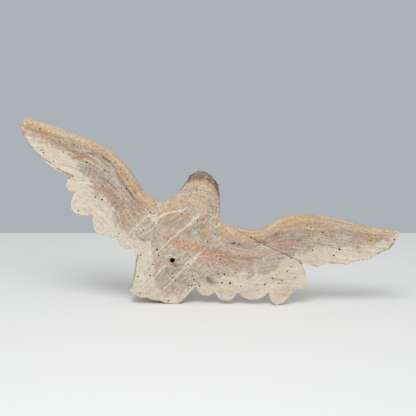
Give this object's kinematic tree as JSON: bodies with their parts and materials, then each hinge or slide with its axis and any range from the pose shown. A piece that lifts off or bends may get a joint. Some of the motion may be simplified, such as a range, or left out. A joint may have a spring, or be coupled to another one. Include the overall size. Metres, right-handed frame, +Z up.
{
  "type": "carved wooden eagle",
  "caption": "Carved wooden eagle with spread, hollow-backed wings, glued up from blocks along open seams. It stands tilted on its tail, one wing feather and one foot.",
  "frame": {"origin": "on the table, under the middle of the part's box", "axes": "+X along the spread wings towards the bird's right wing, +Z up from the table, and +Y out of the carved front, so the hollow back faces -Y"},
  "size_m": [0.6612, 0.0966, 0.3343],
  "materials": {
    "worn_gilt_wood": "worn to bare ochre and grey-brown wood, with traces of gesso, red clay and gilding",
    "dowel_wood": "bare"
  },
  "bodies": {
    "root": {"body_block": "worn_gilt_wood", "left_wing": "worn_gilt_wood", "right_wing": "worn_gilt_wood", "head": "worn_gilt_wood", "left_foot": "worn_gilt_wood", "right_foot": "worn_gilt_wood", "left_wing_upper_dowel": "dowel_wood", "left_wing_lower_dowel": "dowel_wood", "right_wing_inner_dowel": "dowel_wood", "right_wing_outer_dowel": "dowel_wood", "head_dowel": "dowel_wood", "left_foot_peg": "dowel_wood", "right_foot_peg": "dowel_wood"}
  },
  "joints": []
}
